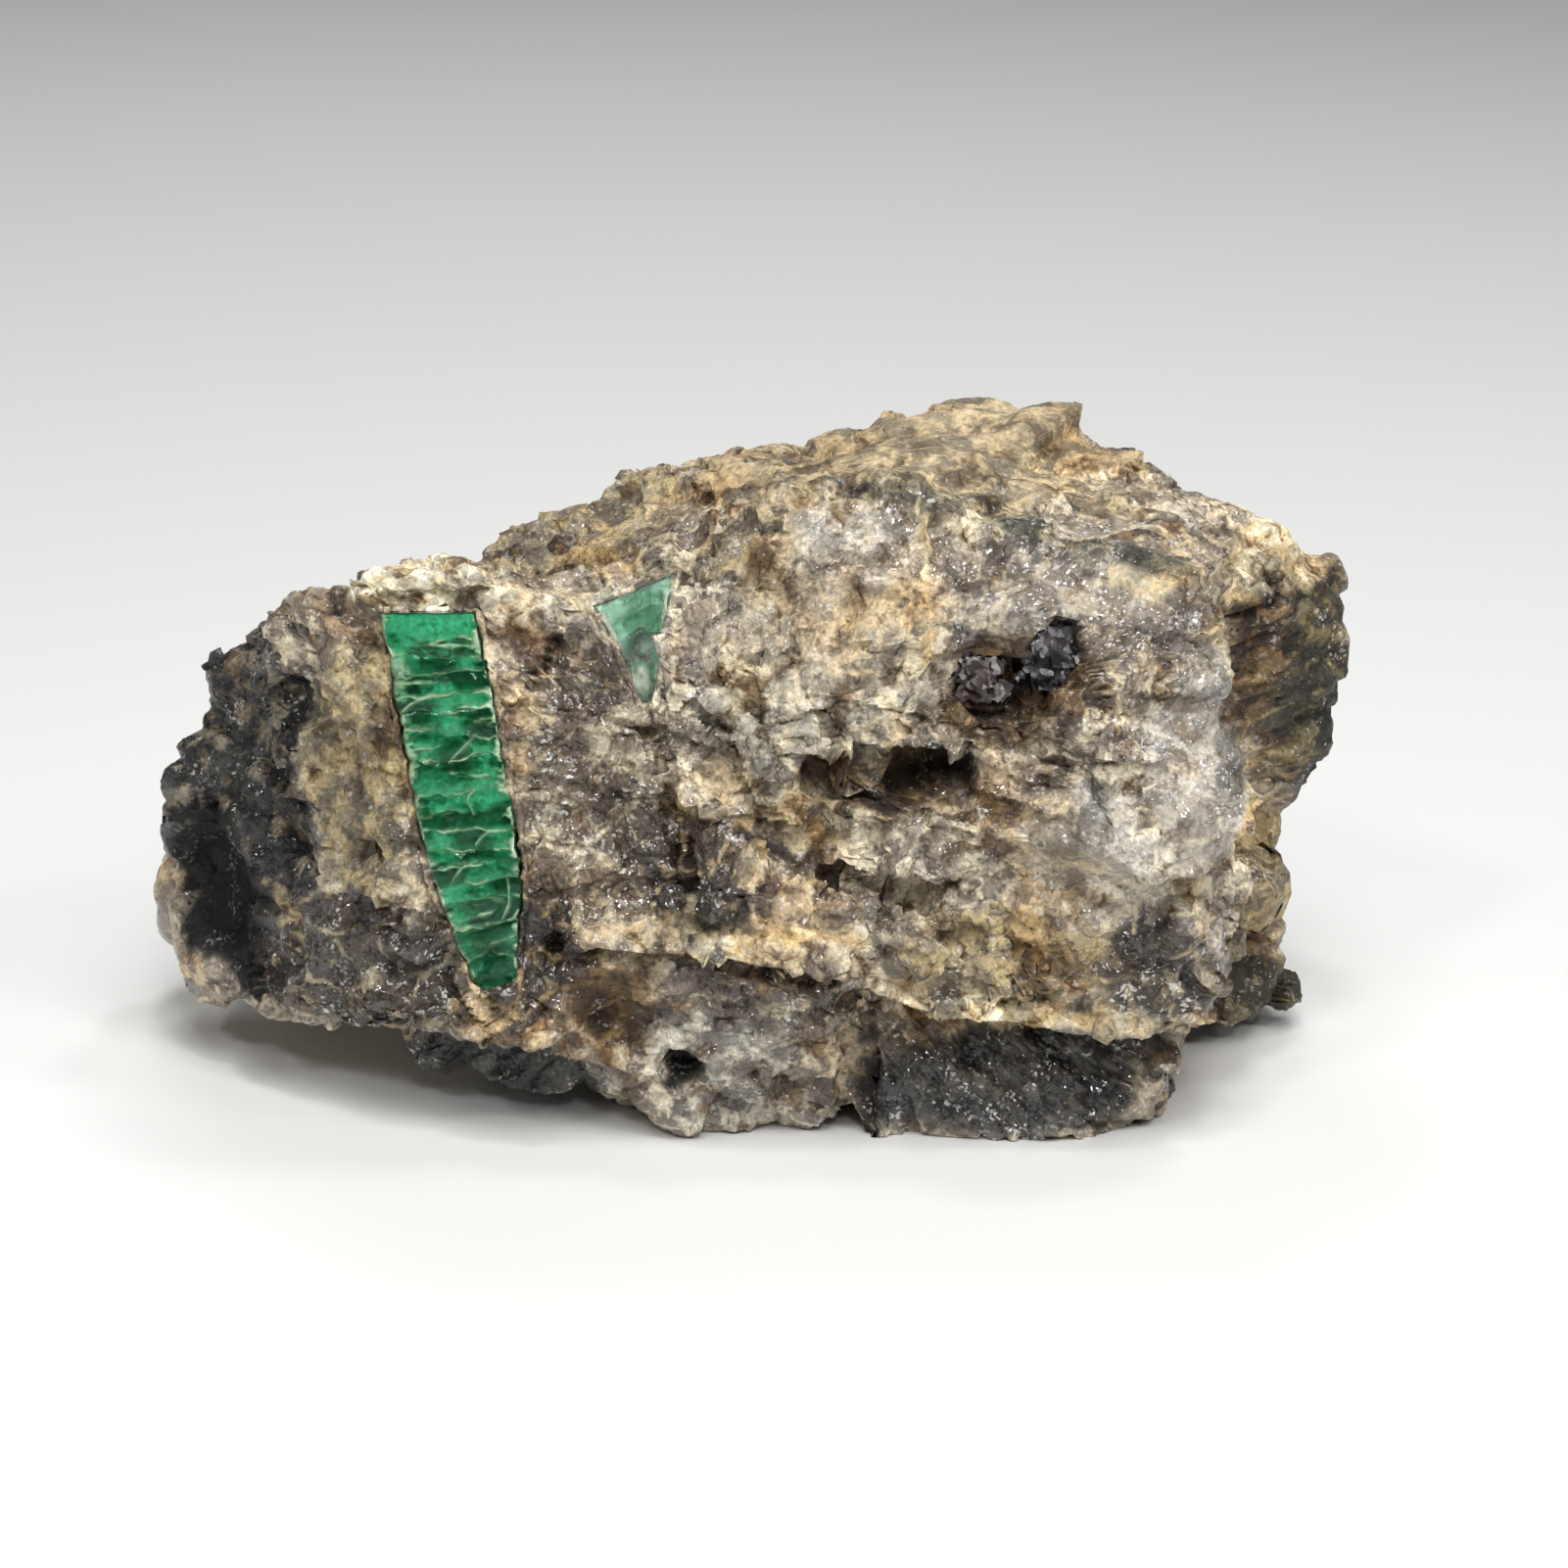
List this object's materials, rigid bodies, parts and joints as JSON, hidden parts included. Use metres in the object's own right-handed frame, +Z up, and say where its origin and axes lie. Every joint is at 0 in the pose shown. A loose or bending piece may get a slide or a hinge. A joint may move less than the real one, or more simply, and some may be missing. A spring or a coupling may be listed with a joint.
{
  "type": "emerald in matrix",
  "caption": "Loose mineral specimen: emerald crystals with dark mica books in a block of quartz and feldspar rock, resting on a flat facet.",
  "frame": {"origin": "on the flat facet that the stone rests on, under the stone's middle", "axes": "+X along the stone's length to the right of a viewer who faces the emeralds, -Y to that viewer, +Z up"},
  "size_m": [0.081, 0.0431, 0.0427],
  "materials": {
    "matrix_rock": "rough broken rock with glassy quartz grains",
    "emerald": "clear green crystal with pale cracks across it",
    "pale_emerald": "cloudy pale green crystal",
    "dark_mica": "black mica plates with a bright sheen"
  },
  "bodies": {
    "root": {"matrix": "matrix_rock", "emerald_crystal_large": "emerald", "emerald_crystal_small": "pale_emerald", "dark_mica_large": "dark_mica", "dark_mica_small": "dark_mica"}
  },
  "joints": []
}
